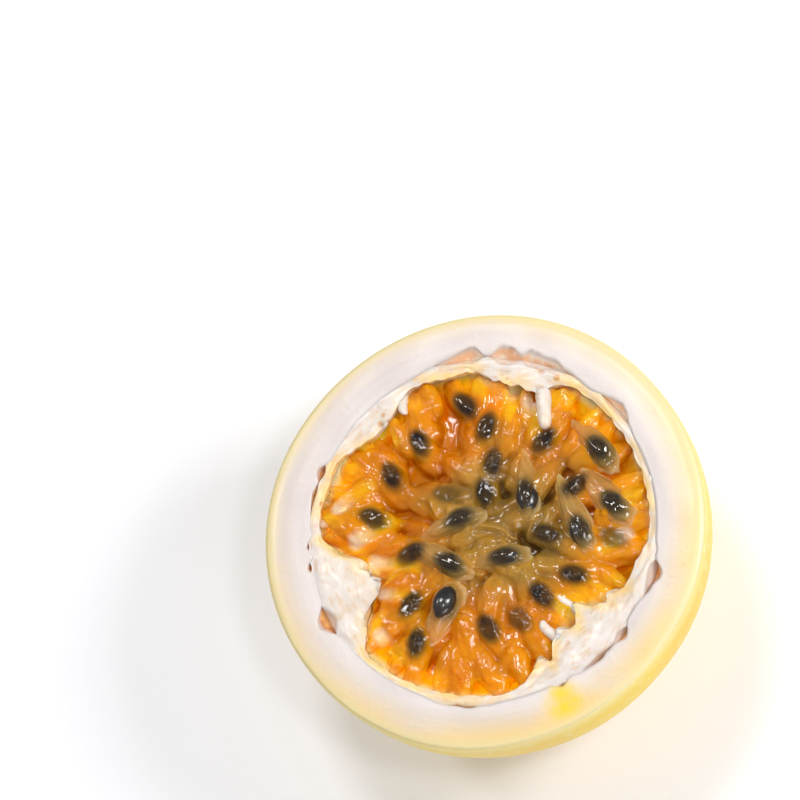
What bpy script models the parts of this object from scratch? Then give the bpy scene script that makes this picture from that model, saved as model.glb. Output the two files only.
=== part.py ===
"""Half a passion fruit, cut across a little above its middle and laid with the cut face up.

Three pieces: the rind (skin and flesh), the white inner lining with its three placentas and
their seed stalks, and the pulp of gel sacs with the seeds in them.
"""
import math
import random

import bmesh
import bpy
from mathutils import Matrix, Vector

# Driving dimensions, in metres
FRUIT_RADIUS = 0.035
CUT_ABOVE_MIDDLE = 0.003
RESTING_SPOT_RADIUS = 0.007
RIND_THICKNESS = 0.0069
LINING_THICKNESS = 0.0012
GAP = 0.0003

# How finely the round walls are drawn
RIND_SEGMENTS = 48
INNER_SEGMENTS = 72
WALL_RINGS = 20
PULP_TOP_RINGS = 20

# Heights and radii that follow from them
MIDDLE_HEIGHT = math.sqrt(FRUIT_RADIUS ** 2 - RESTING_SPOT_RADIUS ** 2)
CAVITY_RADIUS = FRUIT_RADIUS - RIND_THICKNESS
LINING_OUTER_RADIUS = CAVITY_RADIUS - GAP
LINING_INNER_RADIUS = LINING_OUTER_RADIUS - LINING_THICKNESS

# Placentas: bearing and half width in degrees, and how far each stands into the pulp
PLACENTAS = (
    (79, 20, 0.0050),
    (203, 26, 0.0085),
    (316, 32, 0.0065),
)

# Pockets between rind and lining: bearing and half width in degrees, and their width
POCKETS = (
    (84, 34, 0.0023),
    (42, 12, 0.0013),
    (344, 12, 0.0016),
    (210, 8, 0.0019),
    (168, 14, 0.0008),
    (312, 13, 0.0010),
    (265, 16, 0.0007),
)
POCKET_FLOOR = 0.62

# Seed stalks left standing on the lining: bearing in degrees, length and width
STALKS = (
    (69, 0.0062, 0.0029),
    (121, 0.0036, 0.0020),
    (130, 0.0032, 0.0019),
    (177, 0.0050, 0.0018),
    (190, 0.0054, 0.0020),
    (306, 0.0038, 0.0021),
    (320, 0.0046, 0.0018),
)
STALK_DEPTH = 0.0010
STALK_ROOT = 0.0009
STALK_SIDES = 8

# The pulp: a bed of gel, raised into rings of gel sacs
BED_DEPTH = 0.0034
SAC_HALF_LENGTH = 0.0050
SAC_HALF_WIDTH = 0.0029
SAC_HALF_HEIGHT = 0.0040
SAC_CENTRE_DEPTH = 0.0036
SAC_RINGS = (
    # radius, how many, bearing of the first in degrees, share that show a seed
    (0.0000, 1, 0, 1.0),
    (0.0062, 5, 11, 0.7),
    (0.0120, 9, 37, 0.75),
    (0.0176, 13, 35, 0.85),
    (0.0225, 15, 7, 0.35),
)
SAC_STRAY_DEGREES = 9
SAC_STRAY = 0.0014
SAC_DEPTH_STRAY = 0.0008
SAC_TURN_STRAY = 0.55
STALK_CLEARANCE = 0.0026
SEED_SPACING = 0.0042
SEED_HALF_LENGTH = 0.0027
SEED_HALF_WIDTH = 0.0018
SEED_HALF_HEIGHT = 0.0013
SEED_SHOWING = 0.0007
RANDOM_SEED = 27259

# Finishes: name, linear colour, roughness
FINISHES = {
    "skin": ((0.83, 0.47, 0.03, 1.0), 0.38),
    "flesh": ((0.88, 0.83, 0.74, 1.0), 0.55),
    "lining": ((0.90, 0.84, 0.78, 1.0), 0.50),
    "gel": ((0.72, 0.22, 0.008, 1.0), 0.15),
    "seed": ((0.022, 0.016, 0.012, 1.0), 0.25),
}


def clear_scene():
    for obj in list(bpy.data.objects):
        bpy.data.objects.remove(obj, do_unlink=True)


def make_finish(name):
    colour, roughness = FINISHES[name]
    material = bpy.data.materials.new(name)
    material.use_nodes = True
    principled = material.node_tree.nodes["Principled BSDF"]
    principled.inputs["Base Color"].default_value = colour
    principled.inputs["Roughness"].default_value = roughness
    material.diffuse_color = colour
    return material


def new_object(name, bm, finishes):
    """Turn a bmesh into a named object, shaded smooth except at its cut edges."""
    bmesh.ops.recalc_face_normals(bm, faces=bm.faces)
    mesh = bpy.data.meshes.new(name)
    bm.to_mesh(mesh)
    bm.free()
    for finish in finishes:
        mesh.materials.append(bpy.data.materials[finish])
    mesh.shade_smooth()
    mesh.set_sharp_from_angle(angle=math.radians(40))
    obj = bpy.data.objects.new(name, mesh)
    bpy.context.collection.objects.link(obj)
    return obj


def bump(bearing, centre, half_width):
    """1 at the centre bearing, falling smoothly to 0 half a width away."""
    off = abs((bearing - centre + 180) % 360 - 180) / half_width
    return (1 - off * off) ** 2 if off < 1 else 0.0


def bearing_of(point):
    return math.degrees(math.atan2(point.y, point.x))


def steepness(point):
    """1 on the fruit's equator and 0 at its pole."""
    return math.hypot(point.x, point.y) / point.length


def fruit_wall(point):
    """The skin: a ball with a slight, even lumpiness that fades towards the pole."""
    turn = math.radians(bearing_of(point))
    lumps = 0.00022 * math.sin(2 * turn + 0.7) + 0.00012 * math.sin(4 * turn + 2.0)
    return FRUIT_RADIUS + lumps * steepness(point) ** 2


def cavity_wall(point):
    """The flesh's inner face, which draws back from the lining at the pockets."""
    bearing = bearing_of(point)
    width = sum(size * bump(bearing, centre, half) for centre, half, size in POCKETS)
    near_cut = max(0.0, (steepness(point) - POCKET_FLOOR) / (1 - POCKET_FLOOR))
    return CAVITY_RADIUS + width * near_cut


def lining_outer_wall(point):
    return LINING_OUTER_RADIUS


def lining_inner_wall(point):
    """The lining's inner face, with the three placentas running down it as ridges."""
    bearing = bearing_of(point)
    depth = sum(size * bump(bearing, centre, half) for centre, half, size in PLACENTAS)
    return LINING_INNER_RADIUS - depth * steepness(point) ** 1.5


def pulp_wall(point):
    return lining_inner_wall(point) - GAP


def bowl(wall, rim_height, segments):
    """An open bowl about the fruit's middle, whose wall is as far out as wall(point) says."""
    bm = bmesh.new()
    bmesh.ops.create_uvsphere(bm, u_segments=segments, v_segments=WALL_RINGS, radius=1.0)
    for vertex in bm.verts:
        vertex.co *= wall(vertex.co)
    bisect(bm, rim_height)
    return bm


def bisect(bm, height, keep_above=False):
    everything = bm.verts[:] + bm.edges[:] + bm.faces[:]
    bmesh.ops.bisect_plane(
        bm, geom=everything, dist=1e-7, plane_co=(0, 0, height), plane_no=(0, 0, 1),
        clear_outer=not keep_above, clear_inner=keep_above)


def rim_edges(bm):
    return [edge for edge in bm.edges if edge.is_boundary]


def cup(outer, inner):
    """Join an outer bowl and an inner bowl into one closed wall along their rims."""
    inner_mesh = bpy.data.meshes.new("inner_bowl")
    bmesh.ops.reverse_faces(inner, faces=inner.faces)
    inner.to_mesh(inner_mesh)
    inner.free()
    outer_faces = set(outer.faces)
    outer.from_mesh(inner_mesh)
    bpy.data.meshes.remove(inner_mesh)
    bmesh.ops.bridge_loops(outer, edges=rim_edges(outer))
    return outer, outer_faces


def lift_to_table(bm):
    bmesh.ops.translate(bm, verts=bm.verts, vec=(0, 0, MIDDLE_HEIGHT))


def make_rind():
    """Skin and flesh: a thick cup with a small flat spot to rest on."""
    outer = bowl(fruit_wall, CUT_ABOVE_MIDDLE, RIND_SEGMENTS)
    bisect(outer, -MIDDLE_HEIGHT, keep_above=True)
    bottom = [edge for edge in rim_edges(outer) if edge.verts[0].co.z < 0]
    bmesh.ops.contextual_create(outer, geom=bottom)
    bm, skin_faces = cup(outer, bowl(cavity_wall, CUT_ABOVE_MIDDLE, RIND_SEGMENTS))
    for face in bm.faces:
        face.material_index = 0 if face in skin_faces else 1
    lift_to_table(bm)
    return new_object("rind", bm, ("skin", "flesh"))


def stalk_line(bearing, length):
    """Where a stalk runs: its foot on the lining's inner face, and its tip."""
    turn = math.radians(bearing)
    height = CUT_ABOVE_MIDDLE - STALK_DEPTH
    inward = Vector((-math.cos(turn), -math.sin(turn), 0.0))
    probe = Vector((math.cos(turn), math.sin(turn), height / CAVITY_RADIUS)).normalized()
    foot = -inward * math.sqrt(lining_inner_wall(probe) ** 2 - height ** 2)
    foot.z = height
    return foot, foot + inward * length


def stalk(bearing, length, width):
    """One tapered seed stalk, its root sunk in the lining, lying in towards the pulp."""
    foot, tip = stalk_line(bearing, length)
    inward = (tip - foot).normalized()
    root = foot - inward * STALK_ROOT
    placed = Matrix.Translation((root + tip) / 2)
    aimed = inward.to_track_quat("Z", "Y").to_matrix().to_4x4()
    bm = bmesh.new()
    bmesh.ops.create_cone(
        bm, cap_ends=True, segments=STALK_SIDES, radius1=width / 2, radius2=width / 4,
        depth=(tip - root).length, matrix=placed @ aimed)
    lift_to_table(bm)
    return new_object("stalk", bm, ("lining",))


def join_by_union(target, extras):
    """Fuse a list of objects into the target with one Boolean, and remove them."""
    group = bpy.data.collections.new(target.name + "_extras")
    bpy.context.scene.collection.children.link(group)
    for extra in extras:
        bpy.context.collection.objects.unlink(extra)
        group.objects.link(extra)
    union = target.modifiers.new("union", "BOOLEAN")
    union.operation = "UNION"
    union.operand_type = "COLLECTION"
    union.collection = group
    union.solver = "EXACT"
    union.material_mode = "TRANSFER"
    apply_modifiers(target)
    for extra in extras:
        bpy.data.objects.remove(extra, do_unlink=True)
    bpy.data.collections.remove(group)


def apply_modifiers(obj):
    bpy.ops.object.select_all(action="DESELECT")
    bpy.context.view_layer.objects.active = obj
    obj.select_set(True)
    for modifier in list(obj.modifiers):
        bpy.ops.object.modifier_apply(modifier=modifier.name)
    obj.select_set(False)


def make_lining():
    """The white inner skin, its placentas, and the stalks fused into it."""
    outer = bowl(lining_outer_wall, CUT_ABOVE_MIDDLE, INNER_SEGMENTS)
    bm, _ = cup(outer, bowl(lining_inner_wall, CUT_ABOVE_MIDDLE, INNER_SEGMENTS))
    lift_to_table(bm)
    lining = new_object("lining", bm, ("lining",))
    join_by_union(lining, [stalk(*each) for each in STALKS])
    return lining


def sac_places():
    """Rings of sacs: each one's centre, the way its blunt end points, and whether it shows a seed."""
    draw = random.Random(RANDOM_SEED)
    places = []
    for radius, count, first, share in SAC_RINGS:
        for step in range(count):
            stray = draw.uniform(-SAC_STRAY_DEGREES, SAC_STRAY_DEGREES)
            turn = math.radians(first + step * 360 / count + stray)
            probe = Vector((math.cos(turn), math.sin(turn), 0.0))
            reach = lining_inner_wall(probe) - SAC_HALF_LENGTH
            out = min(radius + draw.uniform(-SAC_STRAY, SAC_STRAY), reach)
            depth = SAC_CENTRE_DEPTH + draw.uniform(-SAC_DEPTH_STRAY, SAC_DEPTH_STRAY)
            centre = Vector((out * probe.x, out * probe.y, CUT_ABOVE_MIDDLE - depth))
            heading = turn + math.pi + draw.uniform(-SAC_TURN_STRAY, SAC_TURN_STRAY)
            places.append((centre, heading, draw.random() < share))
    return places


def distance_to_stalk(x, y):
    """How far a place is, seen from above, from the nearest stalk's middle line."""
    place = Vector((x, y))
    nearest = CAVITY_RADIUS
    for bearing, length, _ in STALKS:
        foot, tip = stalk_line(bearing, length)
        run = (tip - foot).to_2d()
        share = max(0.0, min(1.0, (place - foot.to_2d()).dot(run) / run.length_squared))
        nearest = min(nearest, (place - foot.to_2d() - run * share).length)
    return nearest


def gel_height(x, y, places):
    """The gel's top: the highest sac there, or the bed, which also runs under the stalks."""
    bed = CUT_ABOVE_MIDDLE - BED_DEPTH
    if distance_to_stalk(x, y) < STALK_CLEARANCE:
        return bed
    top = bed
    for centre, heading, _ in places:
        ahead = (x - centre.x) * math.cos(heading) + (y - centre.y) * math.sin(heading)
        aside = (y - centre.y) * math.cos(heading) - (x - centre.x) * math.sin(heading)
        along = ahead / SAC_HALF_LENGTH
        across = aside / (SAC_HALF_WIDTH * (0.8 + 0.2 * along))
        inside = 1 - along * along - across * across
        if inside > 0:
            top = max(top, centre.z + SAC_HALF_HEIGHT * math.sqrt(inside))
    return top


def gel_body(places):
    """The pulp's bowl, closed by a top that is drawn ring by ring in to the middle."""
    bm = bowl(pulp_wall, CUT_ABOVE_MIDDLE - BED_DEPTH, INNER_SEGMENTS)
    rim = rim_edges(bm)
    ring = sorted({v for edge in rim for v in edge.verts}, key=bearing_of_vertex)
    outline = [vertex.co.copy() for vertex in ring]
    for step in range(1, PULP_TOP_RINGS):
        share = 1 - step / PULP_TOP_RINGS
        inner = []
        for point in outline:
            x, y = point.x * share, point.y * share
            inner.append(bm.verts.new((x, y, gel_height(x, y, places))))
        for here in range(len(ring)):
            after = (here + 1) % len(ring)
            bm.faces.new((ring[here], ring[after], inner[after], inner[here]))
        ring = inner
    middle = bm.verts.new((0, 0, gel_height(0, 0, places)))
    for here in range(len(ring)):
        bm.faces.new((ring[here], ring[(here + 1) % len(ring)], middle))
    return bm


def bearing_of_vertex(vertex):
    return bearing_of(vertex.co)


def seed(centre, heading, top):
    """One seed, lying flat in its sac with its upper face just out of the gel."""
    bm = bmesh.new()
    bmesh.ops.create_uvsphere(bm, u_segments=8, v_segments=6, radius=1.0)
    turn = Matrix.Rotation(heading, 3, "Z")
    for vertex in bm.verts:
        local = Vector((vertex.co.x * SEED_HALF_LENGTH,
                        vertex.co.y * SEED_HALF_WIDTH * (1 - 0.2 * vertex.co.x),
                        vertex.co.z * SEED_HALF_HEIGHT))
        vertex.co = Vector((centre.x, centre.y, top + SEED_SHOWING - SEED_HALF_HEIGHT)) + turn @ local
    lift_to_table(bm)
    return new_object("seed", bm, ("seed",))


def make_pulp():
    """The gel with its raised sacs, and the seeds fused into it."""
    places = sac_places()
    body = gel_body(places)
    lift_to_table(body)
    pulp = new_object("pulp", body, ("gel", "seed"))
    seeds = []
    taken = []
    for centre, heading, has_seed in places:
        apart = all((centre - other).length > SEED_SPACING for other in taken)
        free = distance_to_stalk(centre.x, centre.y) > STALK_CLEARANCE + SEED_HALF_WIDTH
        if has_seed and apart and free:
            taken.append(centre)
            seeds.append(seed(centre, heading, gel_height(centre.x, centre.y, places)))
    join_by_union(pulp, seeds)
    return pulp


def main():
    clear_scene()
    for name in FINISHES:
        make_finish(name)
    make_rind()
    make_lining()
    make_pulp()


main()
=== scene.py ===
# %% [markdown]
# # Half a passion fruit, cut face up
#
# A yellow passion fruit is a thick, pale rind round a hollow, and the hollow is lined with a
# white skin. Three soft ridges on that skin, the placentas, carry the seeds, each on its own
# white stalk and each wrapped in a sac of orange gel. Here the fruit has been cut across a
# little above its middle, and the half lies on the round side. Every piece is modelled at its
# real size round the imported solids, which say where things are.

# %% Load the frame
import math
import random

import bpy
from mathutils import Matrix, Vector, noise


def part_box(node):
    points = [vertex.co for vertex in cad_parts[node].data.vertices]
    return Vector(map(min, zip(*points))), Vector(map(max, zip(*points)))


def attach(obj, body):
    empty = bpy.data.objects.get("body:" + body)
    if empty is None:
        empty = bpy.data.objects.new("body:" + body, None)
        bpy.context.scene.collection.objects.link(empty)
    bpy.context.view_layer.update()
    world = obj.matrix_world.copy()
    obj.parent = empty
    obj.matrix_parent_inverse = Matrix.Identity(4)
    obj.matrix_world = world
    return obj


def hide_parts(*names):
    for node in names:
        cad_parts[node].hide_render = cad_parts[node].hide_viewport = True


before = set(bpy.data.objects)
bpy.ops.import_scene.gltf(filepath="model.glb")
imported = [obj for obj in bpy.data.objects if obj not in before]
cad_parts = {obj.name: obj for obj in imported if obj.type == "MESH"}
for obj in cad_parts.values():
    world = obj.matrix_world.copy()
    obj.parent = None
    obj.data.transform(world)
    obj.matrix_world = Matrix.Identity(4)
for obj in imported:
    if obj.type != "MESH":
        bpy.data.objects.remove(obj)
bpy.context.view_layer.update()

CUT_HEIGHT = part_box("rind")[1].z

# %% [markdown]
# ## The fruit's own sizes
#
# These are the driving sizes of the solids, and the same rules for the walls. A ball shape is
# easiest to think about from its middle, so every wall is a rule that takes a direction from
# the middle of the fruit and gives back a distance. A placenta is then one bump in that
# distance, and a pocket between flesh and lining is another.

# %% Sizes and walls
# Sizes are in metres, written as millimetres times MM.
MM = 0.001
FRUIT_RADIUS = 35 * MM
CUT_ABOVE_MIDDLE = 3 * MM
RIND_THICKNESS = 6.9 * MM
LINING_THICKNESS = 1.2 * MM
GAP = 0.3 * MM
WIDE_LUMP = 0.22 * MM
NARROW_LUMP = 0.12 * MM
MIDDLE = Vector((0, 0, CUT_HEIGHT - CUT_ABOVE_MIDDLE))
CAVITY_RADIUS = FRUIT_RADIUS - RIND_THICKNESS
LINING_INNER_RADIUS = CAVITY_RADIUS - GAP - LINING_THICKNESS

# bearing and half width in degrees, and how far each stands into the pulp
PLACENTAS = ((79, 20, 5.0 * MM), (203, 26, 8.5 * MM), (316, 32, 6.5 * MM))
# bearing and half width in degrees, and how wide each opens
POCKETS = (
    (84, 34, 2.3 * MM), (42, 12, 1.3 * MM), (344, 12, 1.6 * MM), (210, 8, 1.9 * MM),
    (168, 14, 0.8 * MM), (312, 13, 1.0 * MM), (265, 16, 0.7 * MM),
)
# finer slits, too small for the solids, and how much tissue closes a pocket again
SLITS = (
    (159, 4, 0.9 * MM), (184, 3.5, 0.8 * MM), (191, 3.5, 0.8 * MM), (323, 5, 1.1 * MM),
    (298, 4, 0.8 * MM),
)
BRIDGES = ((90, 5, 0.75), (79, 3, 0.5), (350, 3, 0.6))
POCKET_REACH = 1.9 * MM
# bearing in degrees, length and width
STALKS = (
    (69, 6.2 * MM, 2.9 * MM), (121, 3.6 * MM, 2.0 * MM), (130, 3.2 * MM, 1.9 * MM),
    (177, 5.0 * MM, 1.8 * MM), (190, 5.4 * MM, 2.0 * MM), (306, 3.8 * MM, 2.1 * MM),
    (320, 4.6 * MM, 1.8 * MM),
)
STALK_DEPTH = 1.0 * MM
STALK_ROOT = 0.9 * MM
# noise vectors change from run to run unless their generator is given a seed
RANDOM_SEED = 27259
noise.seed_set(RANDOM_SEED)


def bump(bearing, centre, half_width):
    """1 at the centre bearing, falling smoothly to 0 half a width away."""
    off = abs((bearing - centre + 180) % 360 - 180) / half_width
    return (1 - off * off) ** 2 if off < 1 else 0.0


def within_one(value):
    """Held between 0 and 1."""
    return max(0.0, min(1.0, value))


def flat_way(turn):
    """The level direction at an angle in radians."""
    return Vector((math.cos(turn), math.sin(turn), 0.0))


def bearing_of(point):
    return math.degrees(math.atan2(point.y, point.x))


def steepness(point):
    """1 on the fruit's equator and 0 at its pole."""
    return math.hypot(point.x, point.y) / point.length


def fruit_wall(way):
    """The skin: a ball with slight, even lumps."""
    turn = math.radians(bearing_of(way))
    lumps = WIDE_LUMP * math.sin(2 * turn + 0.7) + NARROW_LUMP * math.sin(4 * turn + 2.0)
    return FRUIT_RADIUS + lumps * steepness(way) ** 2


def lining_inner_wall(way):
    """The lining's inner face, with its three placentas."""
    bearing = bearing_of(way)
    ridge = sum(size * bump(bearing, centre, half) for centre, half, size in PLACENTAS)
    return LINING_INNER_RADIUS - ridge * steepness(way) ** 1.5


def pocket_width(bearing):
    """How far the flesh stands back from the lining at this bearing, at the cut."""
    width = sum(size * bump(bearing, centre, half) for centre, half, size in POCKETS + SLITS)
    for centre, half, share in BRIDGES:
        width *= 1 - share * bump(bearing, centre, half)
    return width


def near_the_cut(way):
    """1 at the cut, falling to 0 a few millimetres under it."""
    under = CUT_ABOVE_MIDDLE - way.normalized().z * CAVITY_RADIUS
    return math.exp(-(under / POCKET_REACH) ** 2) if under > 0 else 1.0


# %% [markdown]
# ## Helpers for shaping by operator
#
# Operators act on what is selected and on the active object, so each helper first clears the
# selection. A bowl starts as a ball primitive: every point is moved along its own ray to
# where the wall's rule says, and the ball is then bisected at the height of the cut.

# %% Shaping helpers
def deselect_everything():
    if bpy.context.mode != "OBJECT":
        bpy.ops.object.mode_set(mode="OBJECT")
    bpy.ops.object.select_all(action="DESELECT")


def make_active(piece):
    deselect_everything()
    bpy.context.view_layer.objects.active = piece
    piece.select_set(True)


def bowl(name, wall, segments, rings):
    """A ball primitive shaped by wall(direction) and bisected at the cut."""
    deselect_everything()
    bpy.ops.mesh.primitive_uv_sphere_add(segments=segments, ring_count=rings, radius=1.0)
    piece = bpy.context.active_object
    piece.name = name
    for vertex in piece.data.vertices:
        vertex.co = vertex.co * wall(vertex.co)
    bpy.ops.object.mode_set(mode="EDIT")
    bpy.ops.mesh.select_all(action="SELECT")
    bpy.ops.mesh.bisect(
        plane_co=(0, 0, CUT_ABOVE_MIDDLE), plane_no=(0, 0, 1), clear_outer=True, threshold=1e-7)
    bpy.ops.object.mode_set(mode="OBJECT")
    return piece


def at_cut(point, within=0.01 * MM):
    """Whether a bowl's point lies on the cut face, or this close under it."""
    return point.z > CUT_ABOVE_MIDDLE - within


def select_open_rims():
    bpy.ops.mesh.select_all(action="DESELECT")
    bpy.ops.mesh.select_mode(type="EDGE")
    bpy.ops.mesh.select_non_manifold(
        extend=False, use_wire=False, use_boundary=True, use_multi_face=False,
        use_non_contiguous=False, use_verts=False)


def close_cup(outer, inner, rings_across):
    """Join two bowls into one wall, with rings_across loops over the cut face between them."""
    make_active(inner)
    bpy.ops.object.mode_set(mode="EDIT")
    bpy.ops.mesh.select_all(action="SELECT")
    bpy.ops.mesh.flip_normals()
    make_active(outer)
    inner.select_set(True)
    bpy.ops.object.join()
    bpy.ops.object.mode_set(mode="EDIT")
    select_open_rims()
    bpy.ops.mesh.bridge_edge_loops(number_cuts=rings_across, interpolation="LINEAR")
    bpy.ops.object.mode_set(mode="OBJECT")
    return outer


def join_all(parts, name):
    make_active(parts[0])
    for part in parts:
        part.select_set(True)
    bpy.ops.object.join()
    parts[0].name = name
    return parts[0]


def finish_piece(piece, material):
    """Lift a piece from the fruit's middle to the table, smooth it and give it its finish."""
    for vertex in piece.data.vertices:
        vertex.co = vertex.co + MIDDLE
    piece.data.materials.clear()
    piece.data.materials.append(material)
    make_active(piece)
    bpy.ops.object.shade_smooth()
    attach(piece, "root")
    print(piece.name, "has", len(piece.data.polygons), "faces")


# %% [markdown]
# ## Nodes in few words
#
# A material is a small network. `add_node` makes one node, sets its fields and links what
# feeds it, so that a finish below reads as a list of steps. A pattern could also be painted
# on a UV map, but the fruit has the same tissue all through, so patterns are solid ones, cut
# by the surface as a knife would cut them.

# %% Node helpers
def feed(tree, socket, value):
    """Link a socket's value in, or set it."""
    if isinstance(value, bpy.types.NodeSocket):
        tree.links.new(value, socket)
    else:
        socket.default_value = value


def add_node(tree, kind, settings=None, **inputs):
    """One node; inputs are sockets to link or values, named with _ for a space."""
    made = tree.nodes.new(kind)
    for field, value in (settings or {}).items():
        setattr(made, field, value)
    for key, value in inputs.items():
        feed(tree, made.inputs[key.replace("_", " ")], value)
    return made


def calculate(tree, operation, first, second=0.0, clamp=False):
    made = add_node(tree, "ShaderNodeMath", {"operation": operation, "use_clamp": clamp})
    feed(tree, made.inputs[0], first)
    feed(tree, made.inputs[1], second)
    return made.outputs[0]


def times(tree, first, second):
    return calculate(tree, "MULTIPLY", first, second)


def vectors(tree, operation, first, second):
    made = add_node(tree, "ShaderNodeVectorMath", {"operation": operation})
    feed(tree, made.inputs[0], first)
    feed(tree, made.inputs[1], second)
    return made.outputs[0]


def flat_length(tree, place):
    """The way to a point seen from above, and how long it is."""
    flat = vectors(tree, "MULTIPLY", place, (1.0, 1.0, 0.0))
    length = add_node(tree, "ShaderNodeVectorMath", {"operation": "LENGTH"}, Vector=flat)
    return flat, length.outputs["Value"]


def ramp(tree, source, low, high):
    """0 below low and 1 above high, smoothly."""
    return add_node(tree, "ShaderNodeMapRange", {"interpolation_type": "SMOOTHSTEP"},
                    Value=source, From_Min=low, From_Max=high).outputs["Result"]


def fall(tree, source, low, high):
    """1 below low and 0 above high, smoothly."""
    return calculate(tree, "SUBTRACT", 1.0, ramp(tree, source, low, high))


def blend(tree, share, first, second):
    """Mix two colours."""
    made = add_node(tree, "ShaderNodeMix", {"data_type": "RGBA"}, Factor=share)
    feed(tree, made.inputs[6], first)
    feed(tree, made.inputs[7], second)
    return made.outputs[2]


def split(tree, place):
    return add_node(tree, "ShaderNodeSeparateXYZ", Vector=place).outputs


def store(piece, name, values):
    """Keep one number for each of the piece's points, under a name that a finish reads."""
    layer = piece.data.attributes.new(name, "FLOAT", "POINT")
    layer.data.foreach_set("value", values)


def mark(piece, name, rule):
    """Store rule(point) at each of the piece's points."""
    store(piece, name, [rule(vertex.co) for vertex in piece.data.vertices])


def read_mark(tree, name):
    return add_node(tree, "ShaderNodeAttribute", {"attribute_name": name}).outputs["Fac"]


def new_material(name, **values):
    """A material, its nodes and its shader, and Object coordinates, which stay with the piece."""
    material = bpy.data.materials.new(name)
    material.use_nodes = True
    tree = material.node_tree
    shader = tree.nodes["Principled BSDF"]
    for key, value in values.items():
        shader.inputs[key.replace("_", " ")].default_value = value
    return material, tree, shader, tree.nodes.new("ShaderNodeTexCoord").outputs["Object"]


# %% [markdown]
# ## Three effects that several finishes share
#
# Everything here grew, so no colour is even: `mottle` gives a soft cloudy mask, and
# `radial_streaks` one drawn out from the middle, as fibres run. Everything cut is wet:
# `wet_skin` gives the fine crumpled normals that break up a highlight. All three are node
# groups, built once and placed in each material with its own values.

# %% Shared node groups
def new_group(name, inputs, outputs):
    group = bpy.data.node_groups.new(name, "ShaderNodeTree")
    for label, kind, value in inputs:
        socket = group.interface.new_socket(label, in_out="INPUT", socket_type=kind)
        if value is not None:
            socket.default_value = value
    for label, kind in outputs:
        group.interface.new_socket(label, in_out="OUTPUT", socket_type=kind)
    return group, group.nodes.new("NodeGroupInput"), group.nodes.new("NodeGroupOutput")


FLOAT, VECTOR = "NodeSocketFloat", "NodeSocketVector"


def sharpened(group, given, result, cloud):
    """Spread a noise between the group's low and high, and give it out as the mask."""
    mask = add_node(group, "ShaderNodeMapRange", Value=cloud.outputs["Fac"],
                    From_Min=given.outputs["Low"], From_Max=given.outputs["High"])
    group.links.new(mask.outputs["Result"], result.inputs["Mask"])
    return group


def build_mottle():
    group, given, result = new_group(
        "mottle",
        (("Vector", VECTOR, None), ("Scale", FLOAT, 100.0), ("Low", FLOAT, 0.4), ("High", FLOAT, 0.6)),
        (("Mask", FLOAT),))
    cloud = add_node(group, "ShaderNodeTexNoise", Vector=given.outputs["Vector"],
                     Scale=given.outputs["Scale"], Detail=3.0)
    return sharpened(group, given, result, cloud)


def build_wet_skin():
    group, given, result = new_group(
        "wet_skin",
        (("Vector", VECTOR, None), ("Scale", FLOAT, 600.0), ("Strength", FLOAT, 0.3),
         ("Distance", FLOAT, 0.0003)),
        (("Normal", VECTOR),))
    place, scale = given.outputs["Vector"], given.outputs["Scale"]
    ridged = {"noise_type": "RIDGED_MULTIFRACTAL"}
    folds = add_node(group, "ShaderNodeTexNoise", ridged, Vector=place, Scale=scale,
                     Detail=2.0, Distortion=0.8)
    creases = add_node(group, "ShaderNodeTexNoise", ridged, Vector=place,
                       Scale=times(group, scale, 3.6), Detail=1.0, Distortion=1.5)
    patches = add_node(group, "ShaderNodeTexNoise", Vector=place, Scale=times(group, scale, 0.45))
    patch = times(group, ramp(group, patches.outputs["Fac"], 0.46, 0.62), 0.30)
    fine = times(group, creases.outputs["Fac"], patch)
    relief = add_node(group, "ShaderNodeBump", Height=calculate(group, "ADD", folds.outputs["Fac"], fine),
                      Strength=given.outputs["Strength"], Distance=given.outputs["Distance"])
    group.links.new(relief.outputs["Normal"], result.inputs["Normal"])
    return group


def build_streaks():
    """Noise drawn out along the fruit's radius, without a seam on its way round."""
    group, given, result = new_group(
        "radial_streaks",
        (("Vector", VECTOR, None), ("Around", FLOAT, 9.0), ("Along", FLOAT, 100.0),
         ("Low", FLOAT, 0.4), ("High", FLOAT, 0.6)),
        (("Mask", FLOAT),))
    flat, length = flat_length(group, given.outputs["Vector"])
    way = add_node(group, "ShaderNodeVectorMath", {"operation": "NORMALIZE"}, Vector=flat)
    spread = add_node(group, "ShaderNodeVectorMath", {"operation": "SCALE"},
                      Vector=way.outputs[0], Scale=given.outputs["Around"])
    rise = add_node(group, "ShaderNodeCombineXYZ", Z=times(group, length, given.outputs["Along"]))
    cloud = add_node(group, "ShaderNodeTexNoise", Scale=1.0, Detail=3.0,
                     Vector=vectors(group, "ADD", spread.outputs[0], rise.outputs[0]))
    return sharpened(group, given, result, cloud)


MOTTLE = build_mottle()
WET_SKIN = build_wet_skin()
STREAKS = build_streaks()


def place_group(tree, group, place, **values):
    made = add_node(tree, "ShaderNodeGroup", {"node_tree": group}, Vector=place, **values)
    return made.outputs[0]


def mottle(tree, place, scale, low=0.4, high=0.6):
    return place_group(tree, MOTTLE, place, Scale=scale, Low=low, High=high)


def radial_streaks(tree, place, around, along, low=0.4, high=0.6):
    return place_group(tree, STREAKS, place, Around=around, Along=along, Low=low, High=high)


def wet_skin(tree, place, scale, strength, distance=0.0003):
    return place_group(tree, WET_SKIN, place, Scale=scale, Strength=strength, Distance=distance)


def distance_from_axis(tree, place, across=0.0, up=0.0):
    """How far a point is, seen from above, from an upright line at (across, up)."""
    return flat_length(tree, vectors(tree, "SUBTRACT", place, (across, up, 0.0)))[1]
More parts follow.
